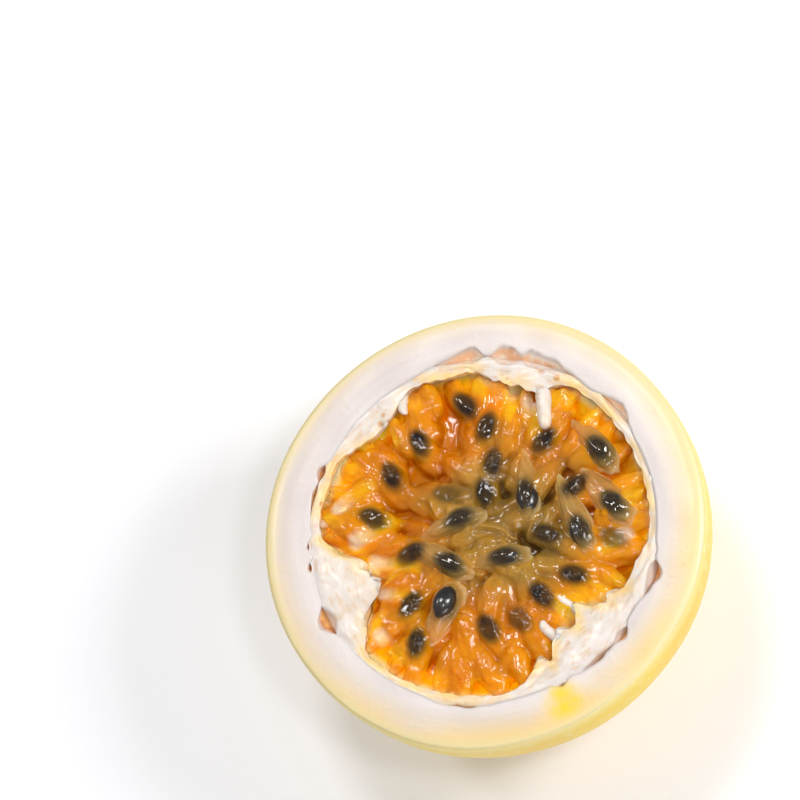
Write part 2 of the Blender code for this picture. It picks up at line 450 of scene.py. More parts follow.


# %% [markdown]
# ## The skin
#
# The skin is a waxy yellow that turns to orange in patches, with pale breathing pores all over. Its -X
# side, turned from the main lamps, gets painted shade in tan. A Voronoi pattern gives one pore to a cell,
# and its cells lie at random, so that the pores don't stand in rows. The wax is a thin coat on top.

# %% Skin material
def skin_material():
    material, tree, wax, place = new_material(
        "waxy_skin", Roughness=0.45, Coat_Weight=0.25, Coat_Roughness=0.20,
        Subsurface_Weight=0.15, Subsurface_Scale=0.002, Subsurface_Radius=(1.0, 0.6, 0.15))
    ripe = blend(tree, mottle(tree, place, 28.0, 0.35, 0.68),
                 (0.93, 0.66, 0.004, 1), (0.90, 0.52, 0.005, 1))
    side = split(tree, place)
    # painted shade: tan over the -X side, turned from the main lamps
    shaded_side = ramp(tree, side["X"], -12 * MM, -38 * MM)
    painted_shade_tan = blend(tree, times(tree, shaded_side, 0.6), ripe, (0.72, 0.36, 0.09, 1))
    cells = add_node(tree, "ShaderNodeTexVoronoi", Vector=place, Scale=420.0, Randomness=0.9)
    pore = fall(tree, cells.outputs["Distance"], 0.12, 0.40)
    spread = times(tree, pore, mottle(tree, place, 160.0, 0.30, 0.56))
    dotted = blend(tree, times(tree, spread, 0.5), painted_shade_tan, (0.96, 0.76, 0.33, 1))
    scar = fall(tree, distance_from_axis(tree, place), 1.0 * MM, 2.6 * MM)
    low = fall(tree, side["Z"], 2 * MM, 6 * MM)
    ended = blend(tree, times(tree, scar, low), dotted, (0.16, 0.07, 0.02, 1))
    near_cut = ramp(tree, side["Z"], CUT_HEIGHT - 4 * MM, CUT_HEIGHT)
    paler = blend(tree, times(tree, near_cut, 0.6), ended, (0.94, 0.79, 0.36, 1))
    cut_line = ramp(tree, side["Z"], CUT_HEIGHT - 0.5 * MM, CUT_HEIGHT - 0.1 * MM)
    rimmed = blend(tree, times(tree, cut_line, 0.9), paler, (0.93, 0.84, 0.55, 1))
    tree.links.new(rimmed, wax.inputs["Base Color"])
    fine = add_node(tree, "ShaderNodeTexNoise", Vector=place, Scale=900.0, Detail=3.0)
    height = calculate(tree, "ADD", times(tree, spread, 0.6), fine.outputs["Fac"])
    relief = add_node(tree, "ShaderNodeBump", Height=height, Strength=0.25, Distance=0.0002)
    tree.links.new(relief.outputs["Normal"], wax.inputs["Normal"])
    return material


WAXY_SKIN = skin_material()

# %% [markdown]
# ## The peel as a piece
#
# The peel is thinner than half a millimetre. A Solidify modifier could give it that
# thickness, but its rim would slant, so it is two bowls, one just inside the other, bridged
# over the rim that the knife left. Its edge is rounded and dried back a hair below the flesh.
# The bowls' lowest points are pressed level, because a ripe fruit settles a little there.

# %% Peel
PEEL_THICKNESS = 0.45 * MM
RESTING_DEPTH = MIDDLE.z
LIP_START = 33.0 * MM
LIP_FALL = 0.45 * MM
DENT_DEPTH = 0.10 * MM
DRIED_BACK = 0.08 * MM


def slight_dents(way):
    """Finger-sized unevenness of the fruit, kept shallow so that the outline stays true."""
    return DENT_DEPTH * noise.noise(way.normalized() * 2.6) * steepness(way)


def round_lip(piece):
    """The knife's edge on the skin dries back a little, which rounds it."""
    for vertex in piece.data.vertices:
        far = math.hypot(vertex.co.x, vertex.co.y)
        out = max(0.0, (far - LIP_START) / (FRUIT_RADIUS - LIP_START))
        if at_cut(vertex.co):
            vertex.co.z -= LIP_FALL * out * out


def settled(piece, lift=0.0):
    """Press the lowest points level, this far above the table."""
    for vertex in piece.data.vertices:
        vertex.co.z = max(vertex.co.z, lift - RESTING_DEPTH)


def peel_outside(way):
    return fruit_wall(way) + slight_dents(way)


def peel_inside(way):
    return peel_outside(way) - PEEL_THICKNESS


def make_peel():
    outer = bowl("peel", peel_outside, 200, 100)
    settled(outer)
    inner = bowl("peel_inside", peel_inside, 200, 100)
    settled(inner, PEEL_THICKNESS)
    peel = close_cup(outer, inner, 4)
    round_lip(peel)
    for vertex in peel.data.vertices:
        if at_cut(vertex.co, LIP_FALL + 0.1 * MM):
            vertex.co.z -= DRIED_BACK
    finish_piece(peel, WAXY_SKIN)
    bpy.ops.object.shade_smooth_by_angle(angle=math.radians(50))
    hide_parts("rind")


make_peel()

# %% [markdown]
# ## The flesh
#
# Under the peel the rind is firm, pale and moist, with a yellow cast that fades inward from
# the skin and is strongest on the ripe side, and with faint rings where it grew. Light goes a
# little way into it, so it needs subsurface scattering. Deep in a pocket it is peach on the
# side away from the juice, and brown with juice elsewhere, and one splash of juice lies on it.

# %% Flesh material
# across and up from the middle
JUICE_SPLASH = (13.6 * MM, -27.4 * MM)


def flesh_material():
    material, tree, moist, place = new_material(
        "moist_flesh", Roughness=0.38, Coat_Weight=0.25, Coat_Roughness=0.25,
        Subsurface_Weight=0.5, Subsurface_Scale=0.0009, Subsurface_Radius=(1.0, 0.75, 0.5))
    far = distance_from_axis(tree, place)
    parts = split(tree, place)
    rings = add_node(tree, "ShaderNodeCombineXYZ", X=times(tree, far, 9.0), Y=parts["X"], Z=parts["Y"])
    streaks = mottle(tree, rings.outputs[0], 55.0, 0.3, 0.7)
    pale = blend(tree, times(tree, streaks, 0.8), (0.67, 0.59, 0.57, 1), (0.77, 0.70, 0.65, 1))
    ripe_side = calculate(tree, "SUBTRACT", times(tree, parts["X"], 19.0), times(tree, parts["Y"], 21.0))
    reach = calculate(tree, "ADD", far, times(tree, ripe_side, 1.2 * MM))
    strength = calculate(tree, "ADD", times(tree, ripe_side, 0.3), 0.7)
    band = calculate(tree, "MULTIPLY", ramp(tree, reach, 29 * MM, 34.5 * MM), strength, clamp=True)
    near_skin = times(tree, band, mottle(tree, place, 75.0, 0.16, 0.54))
    warmed = blend(tree, near_skin, pale, (0.84, 0.61, 0.24, 1))
    splash = distance_from_axis(tree, place, *JUICE_SPLASH)
    wet = fall(tree, splash, 1.2 * MM, 4.2 * MM)
    wetted = times(tree, wet, mottle(tree, place, 330.0, 0.2, 0.6))
    juiced = blend(tree, wetted, warmed, (0.97, 0.62, 0.002, 1))
    edge = blend(tree, ramp(tree, far, 32.5 * MM, 34.7 * MM), juiced, (0.89, 0.74, 0.40, 1))
    deep = ramp(tree, parts["Z"], CUT_HEIGHT - 0.3 * MM, CUT_HEIGHT - 1.2 * MM)
    hollow = times(tree, deep, 0.9)
    cells = mottle(tree, place, 420.0, 0.44, 0.60)
    peach = blend(tree, cells, (0.95, 0.56, 0.32, 1), (0.98, 0.84, 0.70, 1))
    juicy = blend(tree, cells, (0.62, 0.20, 0.015, 1), (0.90, 0.46, 0.12, 1))
    pocket = blend(tree, ramp(tree, parts["Y"], 6 * MM, 18 * MM), juicy, peach)
    coloured = blend(tree, hollow, edge, pocket)
    tree.links.new(coloured, moist.inputs["Base Color"])
    tree.links.new(wet_skin(tree, place, 700.0, 0.12), moist.inputs["Normal"])
    return material


MOIST_FLESH = flesh_material()

# %% [markdown]
# ## The flesh as a piece
#
# The inner face draws back from the lining at the pockets, but only for the first few
# millimetres under the cut, so that the eye meets a floor there and not a dark slot. Noise
# divides each pocket into small cells, as the torn spongy tissue is.

# %% Flesh
SKIN_EDGE = 0.12 * MM
FLESH_BITE = 0.03 * MM
# how far the flesh's inner wall stands in from the cavity's, where no pocket opens
FLESH_INSET = 0.45 * MM
INNER_SLOPE = 2.2 * MM
INNER_FALL = 0.10 * MM
# how much of a pocket's width the flesh gives way, next to what the lining does
POCKET_SHARE = 1.15
CUT_ROUGHNESS = 0.10 * MM
CUT_GRAIN = 160


def flesh_outside(way):
    return peel_outside(way) - SKIN_EDGE


def flesh_inside(way):
    """The cavity's wall, with its torn pockets near the cut."""
    along = way.normalized()
    cells = 1.0 + 0.4 * noise.noise(along * 14.0) + 0.15 * noise.noise(along * 40.0)
    back = pocket_width(bearing_of(way)) * near_the_cut(way) * cells * POCKET_SHARE
    return CAVITY_RADIUS - FLESH_INSET + back


def make_flesh():
    outer = bowl("flesh", flesh_outside, 360, 90)
    settled(outer, PEEL_THICKNESS - FLESH_BITE)
    inner = bowl("flesh_inside", flesh_inside, 360, 140)
    flesh = close_cup(outer, inner, 14)
    round_lip(flesh)
    for vertex in flesh.data.vertices:
        inward = within_one(1 - (math.hypot(vertex.co.x, vertex.co.y) - CAVITY_RADIUS) / INNER_SLOPE)
        if at_cut(vertex.co):
            vertex.co.z -= INNER_FALL * inward ** 2
    for vertex in flesh.data.vertices:
        if at_cut(vertex.co, 0.3 * MM):
            vertex.co.z += CUT_ROUGHNESS * noise.noise(vertex.co * CUT_GRAIN)
    finish_piece(flesh, MOIST_FLESH)
    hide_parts("rind")


make_flesh()

# %% [markdown]
# ## The lining
#
# The lining is a thin white skin, moist and a little translucent. It has the flesh's colour
# where it has grown to the flesh, and is yellow where gel has stained it, which the mark
# `near_gel` tells. Brown threads and small pits, some of them full of juice, break it up.

# %% Lining material
def lining_material():
    material, tree, moist, place = new_material(
        "moist_lining", Roughness=0.42, Coat_Weight=0.25, Coat_Roughness=0.2,
        Subsurface_Weight=0.5, Subsurface_Scale=0.0007, Subsurface_Radius=(1.0, 0.7, 0.45))
    white = blend(tree, mottle(tree, place, 190.0, 0.40, 0.60),
                  (0.76, 0.65, 0.55, 1), (0.82, 0.75, 0.69, 1))
    outer_side = ramp(tree, distance_from_axis(tree, place), 25.5 * MM, 28 * MM)
    white = blend(tree, outer_side, white, (0.76, 0.69, 0.65, 1))
    near = ramp(tree, read_mark(tree, "near_gel"), 0.0, 1.0)
    stain = times(tree, mottle(tree, place, 260.0, 0.36, 0.60), near)
    stained = blend(tree, times(tree, stain, 0.75), white, (0.95, 0.62, 0.12, 1))
    threads = radial_streaks(tree, place, 13.0, 1500.0, 0.55, 0.63)
    stringy = blend(tree, times(tree, threads, 0.45), stained, (0.72, 0.46, 0.24, 1))
    holes = add_node(tree, "ShaderNodeTexVoronoi", Vector=place, Scale=330.0, Randomness=1.0)
    hole = fall(tree, holes.outputs["Distance"], 0.10, 0.24)
    pitted = times(tree, hole, mottle(tree, place, 120.0, 0.52, 0.60))
    stringy = blend(tree, times(tree, pitted, 0.8), stringy, (0.62, 0.25, 0.03, 1))
    height = split(tree, place)["Z"]
    deep = ramp(tree, height, CUT_HEIGHT - 1.2 * MM, CUT_HEIGHT - 4 * MM)
    coloured = blend(tree, times(tree, deep, 0.8), stringy, (0.80, 0.45, 0.12, 1))
    tree.links.new(coloured, moist.inputs["Base Color"])
    tree.links.new(wet_skin(tree, place, 420.0, 0.35, 0.0004), moist.inputs["Normal"])
    return material


MOIST_LINING = lining_material()

# %% [markdown]
# ## The lining and its stalks as a piece
#
# The lining is another cup. Outside it has grown into the flesh, but for the pockets, where
# it is drawn in. Its rim is ragged: it stands a little above the flesh in some places and is
# torn lower in others. The seed stalks are tapered pegs whose roots sink into it. Each is made
# from a ball by one rule, with its own lean and height, and all are joined in.

# %% Lining
RIM_RISE = 0.5 * MM
# where soft tissue thickens the lining between placentas, as PLACENTAS has it
THICK_PLACES = (
    (136, 20, 2.8 * MM), (294, 13, 1.9 * MM), (346, 10, 1.4 * MM), (82, 15, -2.2 * MM),
    (104, 14, 0.9 * MM), (313, 4.5, -2.0 * MM), (299, 4, -1.8 * MM), (328, 4, -1.3 * MM),
)
SEAM = 0.5 * MM
SEAM_WIDTH = 1.4 * MM
SEAM_FALL = 0.40 * MM
DRAWN_IN = 0.8
UNEVENNESS = 0.12 * MM
FOLD_HEIGHT = 0.35 * MM
# the placentas' lumps and fingers, in millimetres, and how thick a placenta shows them in full
LUMP_MM = 1.4
FINGER_MM = 1.3
FULL_RIDGE = 6 * MM
TORN_HEIGHT = 0.30 * MM
SAG = 0.7 * MM
FULL_SAG_WIDTH = 4 * MM
PEG_SLIMNESS = 0.82
PEG_TILT = 1.1 * MM
PEG_BEND = 0.5 * MM
PEG_ROUGHNESS = 0.15 * MM
# how many degrees each peg leans from the straight way in, and how far it is raised
PEG_STANCES = (
    (28, 0.9 * MM), (-25, 0.2 * MM), (-20, 0.2 * MM), (30, -0.6 * MM), (17, -0.6 * MM),
    (18, 0.1 * MM), (8, 0.1 * MM),
)
# between these bearings the pegs lie sunk between sacs, and take their colour
SUNK_PEGS = (150, 200)
SUNK_STAIN = 1.4
PEG_STAIN = 0.25
PEG_CLEAN_LENGTH = 4.5 * MM
STAIN_REACH = 3.2 * MM


def lining_outside(way):
    """Grown into the flesh by the width of a seam, but drawn in at the pockets."""
    drawn = DRAWN_IN * pocket_width(bearing_of(way)) * near_the_cut(way)
    return CAVITY_RADIUS + SEAM - drawn + UNEVENNESS * noise.noise(way.normalized() * 9.0)


def lining_inside(way):
    """The smooth wall plus the soft folds of the tissue, which run down the cup."""
    folds = noise.noise(Vector((way.x * 22, way.y * 22, way.z * 5)) / way.length)
    lumps = noise.noise(Vector((way.x * 9, way.y * 9, way.z * 6)) / way.length)
    fingers = noise.noise(Vector((way.x * 17, way.y * 17, way.z * 5)) / way.length)
    wall = lining_inner_wall(way)
    ridge = (LINING_INNER_RADIUS - wall) / FULL_RIDGE
    extra = sum(size * bump(bearing_of(way), centre, half) for centre, half, size in THICK_PLACES)
    return (wall - extra * steepness(way) ** 3 + FOLD_HEIGHT * folds
            + min(1.0, ridge) * MM * (LUMP_MM * lumps + FINGER_MM * fingers))


def near_gel(point):
    """1 at the lining's inner face, fading to 0 in STAIN_REACH behind it."""
    return within_one(1 - (point.length - lining_inside(point)) / STAIN_REACH)


def peg_stain(point):
    """The tips of the sunk pegs take up colour from the gel."""
    out = lining_inside(point) - point.length
    most = SUNK_STAIN if SUNK_PEGS[0] < bearing_of(point) % 360 < SUNK_PEGS[1] else PEG_STAIN
    return most * within_one(out / PEG_CLEAN_LENGTH - 0.1)


def ragged_rim(piece):
    """Lift, tear and round the rim between the two bowls."""
    for vertex in piece.data.vertices:
        if not at_cut(vertex.co):
            continue
        way = Vector((vertex.co.x, vertex.co.y, 0.0))
        outer = lining_outside(vertex.co)
        inner = lining_inner_wall(way)
        across = within_one((way.length - inner) / (outer - inner))
        seam = within_one((way.length - CAVITY_RADIUS + SEAM_WIDTH) / (SEAM_WIDTH + SEAM))
        crown = math.sin(math.pi * (0.12 + 0.76 * across)) ** 0.5
        bearing = math.radians(bearing_of(way))
        thread = noise.noise(Vector((8 * math.cos(bearing), 8 * math.sin(bearing), way.length * 700)))
        torn = (1.2 * noise.noise(vertex.co * 240) + 0.7 * thread) * (1 - 0.8 * seam)
        thick = min(1.0, (outer - inner) / FULL_SAG_WIDTH)
        sag = SAG * thick * (1 - across)
        vertex.co.z += RIM_RISE * (crown - 0.7) + TORN_HEIGHT * torn - sag - SEAM_FALL * seam


def add_stalk(bearing, length, width, lean, rise):
    """One peg: a cone with a rounded tip, its root sunk in the lining."""
    turn = math.radians(bearing)
    height = CUT_ABOVE_MIDDLE - STALK_DEPTH
    inward = Vector((-math.cos(turn), -math.sin(turn), 0.0))
    way = flat_way(turn)
    way.z = height / CAVITY_RADIUS
    foot = -inward * math.sqrt(lining_inner_wall(way) ** 2 - height ** 2)
    foot.z = height
    root = foot - inward * STALK_ROOT
    whole = length + STALK_ROOT
    inward = Matrix.Rotation(math.radians(lean), 3, "Z") @ inward
    deselect_everything()
    bpy.ops.mesh.primitive_ico_sphere_add(subdivisions=4, radius=1.0)
    peg = bpy.context.active_object
    turned = inward.to_track_quat("X", "Z").to_matrix()
    for vertex in peg.data.vertices:
        ball = vertex.co.copy()
        along = math.copysign(abs(ball.x) ** 0.6, ball.x)
        ring = math.sqrt(max(1e-6, 1 - ball.x ** 2))
        round_end = math.sqrt(max(0.0, 1 - abs(along) ** 7)) / ring
        girth = (0.5 - 0.06 * along) * PEG_SLIMNESS * width * round_end
        local = Vector((along * whole / 2, ball.y * girth, ball.z * girth))
        local.y += PEG_BEND * math.sin(bearing) * along ** 2
        local.z += rise - PEG_TILT * (1 - along) / 2
        vertex.co = root + inward * whole / 2 + turned @ local
        vertex.co += PEG_ROUGHNESS * noise.noise_vector(vertex.co * 450)
    return peg


def make_lining():
    outer = bowl("inner_lining", lining_outside, 360, 100)
    inner = bowl("lining_inside", lining_inside, 360, 100)
    lining = close_cup(outer, inner, 18)
    mark(lining, "near_gel", near_gel)
    ragged_rim(lining)
    pegs = [add_stalk(*each, *stance) for each, stance in zip(STALKS, PEG_STANCES)]
    for peg in pegs:
        mark(peg, "near_gel", peg_stain)
    lining = join_all([lining] + pegs, "inner_lining")
    finish_piece(lining, MOIST_LINING)
    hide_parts("lining")


make_lining()

# %% [markdown]
# ## Where the gel sacs lie
#
# The sacs lie in rings, each with its narrow end to the wall and its blunt end to the middle.
# The rule and its seeded draws are those of the solids, so every upper sac lies where its
# solid does, and only stands a little prouder. A second, lower layer fills the gaps.

# %% Sac places
SAC_HALF_LENGTH = 5.0 * MM
SAC_HALF_WIDTH = 2.9 * MM
SAC_HALF_HEIGHT = 3.3 * MM
SAC_CENTRE_DEPTH = 3.6 * MM
SAC_LIFT = 0.7 * MM
SAC_RINGS = (
    # radius, how many, bearing of the first in degrees, share that show a seed
    (0.0, 1, 0, 1.0), (6.2 * MM, 5, 11, 0.7), (12.0 * MM, 9, 37, 0.75),
    (17.6 * MM, 13, 35, 0.85), (22.5 * MM, 15, 7, 0.35),
)
SAC_STRAY = 1.4 * MM
SAC_STRAY_DEGREES = 9
LOWER_STRAY_DEGREES = 6
# how far below SAC_CENTRE_DEPTH a centre may lie, least and most
SAC_DEPTHS = (-0.8 * MM, 0.8 * MM)
LOWER_DEPTHS = (0.2 * MM, 1.2 * MM)
LOWER_INSET = 1.5 * MM
LOWER_SEED_SHARE = 0.5
SAC_TURN_STRAY = 0.55


def ring_of_sacs(draw, radius, ring, offset, stray_degrees, depths, seed_share):
    """Each sac's centre, the way its blunt end points, and whether it shows a seed."""
    _, count, first, _ = ring
    places = []
    for step in range(count):
        stray = draw.uniform(-stray_degrees, stray_degrees)
        turn = math.radians(first + (step + offset) * 360 / count + stray)
        way = flat_way(turn)
        reach = lining_inner_wall(way) - SAC_HALF_LENGTH
        out = min(radius + draw.uniform(-SAC_STRAY, SAC_STRAY), reach)
        depth = SAC_CENTRE_DEPTH + draw.uniform(*depths)
        centre = Vector((out * way.x, out * way.y, CUT_ABOVE_MIDDLE - depth + SAC_LIFT))
        heading = turn + math.pi + draw.uniform(-SAC_TURN_STRAY, SAC_TURN_STRAY)
        places.append((centre, heading, draw.random() < seed_share))
    return places


def upper_places():
    draw = random.Random(RANDOM_SEED)
    places = []
    for ring in SAC_RINGS:
        places += ring_of_sacs(draw, ring[0], ring, 0, SAC_STRAY_DEGREES, SAC_DEPTHS, ring[3])
    return places


def lower_places():
    """The second layer: half a step round from the first and a little deeper."""
    draw = random.Random(RANDOM_SEED + 1)
    places = []
    for ring in SAC_RINGS[1:]:
        places += ring_of_sacs(draw, ring[0] - LOWER_INSET, ring, 0.5, LOWER_STRAY_DEGREES,
                               LOWER_DEPTHS, LOWER_SEED_SHARE)
    return places


UPPER_SACS = upper_places()
LOWER_SACS = lower_places()
print(len(UPPER_SACS), "upper sacs and", len(LOWER_SACS), "lower ones")

# %% [markdown]
# ## Loose sacs, and where the seeds are
#
# The knife freed a few sacs, which lie on top with their whole outline showing: pale clubs on the right,
# one under a bare black seed at the lower left, and crumpled ones in the middle, where the skins caught
# the blade. Their places are listed. Every seed lies near the blunt end of its sac. The list is needed
# before the gel is made, because the gel is darker over a seed, and no two seeds lie closer than a seed's
# own size.

# %% Loose sacs and seeds
# across and up from the middle, bearing of the blunt end in degrees, half length, half width,
# and how deep the seed lies
LOOSE_SACS = (
    (19.8 * MM, 4.6 * MM, -48, 5.6 * MM, 3.2 * MM, 0.8 * MM),
    (14.6 * MM, 1.6 * MM, -66, 6.4 * MM, 2.5 * MM, 0.8 * MM),
    (-5.8 * MM, -12.6 * MM, 65, 5.0 * MM, 3.0 * MM, -0.7 * MM),
    (17.8 * MM, 13.0 * MM, -50, 5.0 * MM, 2.6 * MM, 1.0 * MM),
    (6.8 * MM, 6.6 * MM, -84, 5.4 * MM, 2.3 * MM, 0.9 * MM),
    (-4.6 * MM, 1.4 * MM, 22, 5.2 * MM, 2.5 * MM, 1.0 * MM),
    (-6.5 * MM, -4.6 * MM, -28, 5.8 * MM, 2.6 * MM, 0.8 * MM),
    (3.2 * MM, -4.6 * MM, 8, 4.6 * MM, 2.7 * MM, 0.8 * MM),
)
LOOSE_LIFT = 1.3 * MM
SEED_HALF_LENGTH = 2.75 * MM
SEED_HALF_WIDTH = 1.75 * MM
SEED_HALF_HEIGHT = 1.25 * MM
SEED_AHEAD = 0.9 * MM
SEED_COVER = 1.1 * MM
DEEP_SEED_COVER = 1.8 * MM
SEED_SPACING = 4.6 * MM
SEED_CLEAR = 0.5 * MM


def loose_centre(x, y):
    return Vector((x, y, CUT_ABOVE_MIDDLE - SAC_CENTRE_DEPTH + SAC_LIFT + LOOSE_LIFT))


def seed_places():
    """Each seed's middle, the way its blunt end points, and how deep it lies in the gel."""
    wanted = []
    for x, y, blunt, length, _, cover in LOOSE_SACS:
        wanted.append((loose_centre(x, y), math.radians(blunt), length - SAC_HALF_LENGTH, cover))
    wanted += [(centre, heading, 0.0, SEED_COVER) for centre, heading, shown in UPPER_SACS if shown]
    wanted += [(centre, heading, 0.0, DEEP_SEED_COVER) for centre, heading, shown in LOWER_SACS if shown]
    places = []
    for centre, heading, further, cover in wanted:
        ahead = flat_way(heading) * (SEED_AHEAD + further)
        rise = Vector((0, 0, SAC_HALF_HEIGHT - cover - SEED_HALF_HEIGHT))
        middle = centre + ahead + rise
        if all((middle - other).xy.length > SEED_SPACING for other, _, _ in places):
            places.append((middle, heading, cover))
    return places


SEEDS = seed_places()
print(len(SEEDS), "seeds")

# %% [markdown]
# ## Marks that the gel's finish reads
#
# Three things about a point of the gel can't be read off its coordinates by a short network: whether a
# seed lies under it, whether a seed stalk does, and how near the lining is. Each is worked out here and
# stored on the mesh as an attribute, which the finish reads as a mask. A stalk is white at its foot and
# turns bright yellow where it enters a sac. The stalks that show through the gel are listed one by one.

# %% Marks
WALL_REACH = 5.0 * MM
FARTHEST_SEED = 4.5 * MM
SEED_BLUR = 0.75
SEED_EDGE = 1.25
DEEP_SEED_SHARE = 0.7
# stalks seen in the gel: across and up at the foot, heading in degrees, length and half width
SEEN_STALKS = (
    (-23.6 * MM, 4.3 * MM, 34, 6.1 * MM, 1.0 * MM), (-20.4 * MM, -1.3 * MM, 30, 7.0 * MM, 1.1 * MM),
    (-17.5 * MM, -4.5 * MM, -10, 7.1 * MM, 0.9 * MM), (-15.9 * MM, -9.7 * MM, -6, 5.0 * MM, 0.8 * MM),
    (-16.2 * MM, -16.2 * MM, -49, 5.1 * MM, 1.0 * MM), (7.1 * MM, 20.6 * MM, -78, 4.7 * MM, 1.3 * MM),
    (22.6 * MM, -1.0 * MM, -146, 4.2 * MM, 1.0 * MM), (13.3 * MM, -21.0 * MM, 129, 3.2 * MM, 0.9 * MM),
    (-17.3 * MM, 17.4 * MM, -42, 3.8 * MM, 0.9 * MM),
)
FARTHEST_STALK = 9 * MM
# the share of a stalk that is white, at its foot
STALK_FOOT = 0.55
STALK_GROOVE = 0.45 * MM


def along_stalks(point):
    """How strongly a stalk shows at a point, and how much of that is its white foot."""
    most, foot = 0.0, 0.0
    for x, y, heading, length, half_width in SEEN_STALKS:
        across, up = point.x - x, point.y - y
        if max(abs(across), abs(up)) > FARTHEST_STALK:
            continue
        turn = math.radians(heading)
        share = (across * math.cos(turn) + up * math.sin(turn)) / length
        nearest = within_one(share) * length
        off = math.hypot(across - nearest * math.cos(turn), up - nearest * math.sin(turn))
        shown = max(0.0, 1 - off / (1.5 * half_width)) * (1 - 0.5 * within_one(share))
        if shown > most:
            most, foot = shown, max(0.0, 1 - share / STALK_FOOT)
    return min(1.0, 1.8 * most), min(1.0, foot)


def seed_under(point):
    """1 over the middle of a seed, fading to 0 just past its edge."""
    most = 0.0
    for middle, heading, cover in SEEDS:
        across, up = point.x - middle.x, point.y - middle.y
        if max(abs(across), abs(up)) > FARTHEST_SEED:
            continue
        ahead = across * math.cos(heading) + up * math.sin(heading)
        aside = up * math.cos(heading) - across * math.sin(heading)
        off = math.hypot(ahead / SEED_HALF_LENGTH, aside / SEED_HALF_WIDTH)
        inside = within_one((SEED_EDGE - off) / SEED_BLUR)
        clear = 1.0 if cover <= SEED_COVER else DEEP_SEED_SHARE
        most = max(most, clear * inside * inside * (3 - 2 * inside))
    return most


def near_lining(point):
    """1 at the lining and 0 from WALL_REACH away, seen from above."""
    way = Vector((point.x, point.y, 0.0))
    if way.length < WALL_REACH:
        return 0.0
    return within_one(1 - (lining_inner_wall(way) - way.length) / WALL_REACH)


# %% [markdown]
# ## Gel finishes
#
# A sac is a drop of amber jelly in a thin wet skin. Some light goes through it, more is scattered in it,
# and the wet skin reflects sharply. One Principled shader does all three with transmission, subsurface
# and a coat. Towards the wall the gel is thick and orange with yellow streaks, and in the middle it is
# thin and brown. The low creases between sacs get painted shade, a darker colour, but near the wall some
# are bright, where white tissue lies just below. A stalk shows through as a pale streak, and a seed as a
# dark shape with soft edges.

# %% Gel materials
VEILED_SEED = (0.014, 0.010, 0.010, 1)


def gel_colour(tree, place, outer, middle, crease):
    """Orange by the wall, amber in the middle, with painted shade in the creases, dark over a seed."""
    far = distance_from_axis(tree, place, 3 * MM, 1 * MM)
    uneven = times(tree, mottle(tree, place, 130.0, 0.3, 0.7), 6 * MM)
    thick = ramp(tree, calculate(tree, "ADD", far, uneven), 10 * MM, 20 * MM)
    cloudy = blend(tree, times(tree, mottle(tree, place, 300.0, 0.4, 0.7), 0.5),
                   middle, (0.62, 0.38, 0.09, 1))
    varied = blend(tree, mottle(tree, place, 85.0, 0.40, 0.62), outer, (0.78, 0.27, 0.001, 1))
    tone = blend(tree, thick, cloudy, varied)
    wall = read_mark(tree, "near_lining")
    streaks = radial_streaks(tree, place, 7.0, 80.0, 0.47, 0.60)
    yellow = times(tree, streaks, ramp(tree, wall, 0.0, 0.55))
    bright = blend(tree, times(tree, yellow, 0.9), tone, (1.0, 0.58, 0.004, 1))
    foot = times(tree, radial_streaks(tree, place, 12.0, 60.0, 0.52, 0.60), ramp(tree, wall, 0.70, 1.0))
    pale = blend(tree, times(tree, foot, 0.7), bright, (0.96, 0.74, 0.30, 1))
    # painted shade: the low creases between sacs turn dark brown in the middle and take the crease colour
    # by the wall
    height = split(tree, place)["Z"]
    low = fall(tree, height, CUT_HEIGHT - 2.8 * MM, CUT_HEIGHT - 0.6 * MM)
    deep = blend(tree, thick, (0.09, 0.045, 0.010, 1), crease)
    gaps = times(tree, ramp(tree, wall, 0.12, 0.5), radial_streaks(tree, place, 3.0, 60.0, 0.40, 0.50))
    lit = blend(tree, ramp(tree, wall, 0.70, 0.97), (1.0, 0.56, 0.004, 1), (0.96, 0.78, 0.44, 1))
    deep = blend(tree, times(tree, gaps, 0.9), deep, lit)
    crease_shaded = blend(tree, times(tree, low, 0.9), pale, deep)
    stalk = blend(tree, read_mark(tree, "stalk_foot"), (1.0, 0.58, 0.003, 1), (0.97, 0.84, 0.60, 1))
    stalked = blend(tree, times(tree, read_mark(tree, "stalk_under"), 0.92), crease_shaded, stalk)
    patchy = calculate(tree, "ADD", times(tree, mottle(tree, place, 350.0, 0.35, 0.65), 0.16), 0.84)
    veiled = times(tree, read_mark(tree, "seed_under"), patchy)
    return blend(tree, veiled, stalked, VEILED_SEED)


def let_light_through(tree, gel, tint):
    """Shadow rays pass the gel with a tint, so that what lies inside is lit."""
    light_path = tree.nodes.new("ShaderNodeLightPath")
    clear = add_node(tree, "ShaderNodeBsdfTransparent", Color=tint)
    through = tree.nodes.new("ShaderNodeMixShader")
    shadow = times(tree, light_path.outputs["Is Shadow Ray"], 0.9)
    tree.links.new(shadow, through.inputs[0])
    tree.links.new(gel.outputs["BSDF"], through.inputs[1])
    tree.links.new(clear.outputs["BSDF"], through.inputs[2])
    output = tree.nodes["Material Output"]
    tree.links.new(through.outputs["Shader"], output.inputs["Surface"])


def sac_material():
    material, tree, gel, place = new_material(
        "clear_gel", Roughness=0.07, IOR=1.42, Transmission_Weight=0.35,
        Specular_IOR_Level=0.5, Subsurface_Weight=0.6, Subsurface_Scale=0.0016,
        Subsurface_Radius=(1.0, 0.72, 0.08), Coat_Weight=0.12, Coat_Roughness=0.08)
    # the last colour is the painted shade of the creases by the wall
    tone = gel_colour(tree, place, (0.88, 0.38, 0.001, 1), (0.56, 0.30, 0.035, 1),
                      (0.50, 0.15, 0.001, 1))
    tree.links.new(tone, gel.inputs["Base Color"])
    tree.links.new(wet_skin(tree, place, 300.0, 0.8, 0.0009), gel.inputs["Normal"])
    let_light_through(tree, gel, (0.97, 0.70, 0.25, 1))
    return material


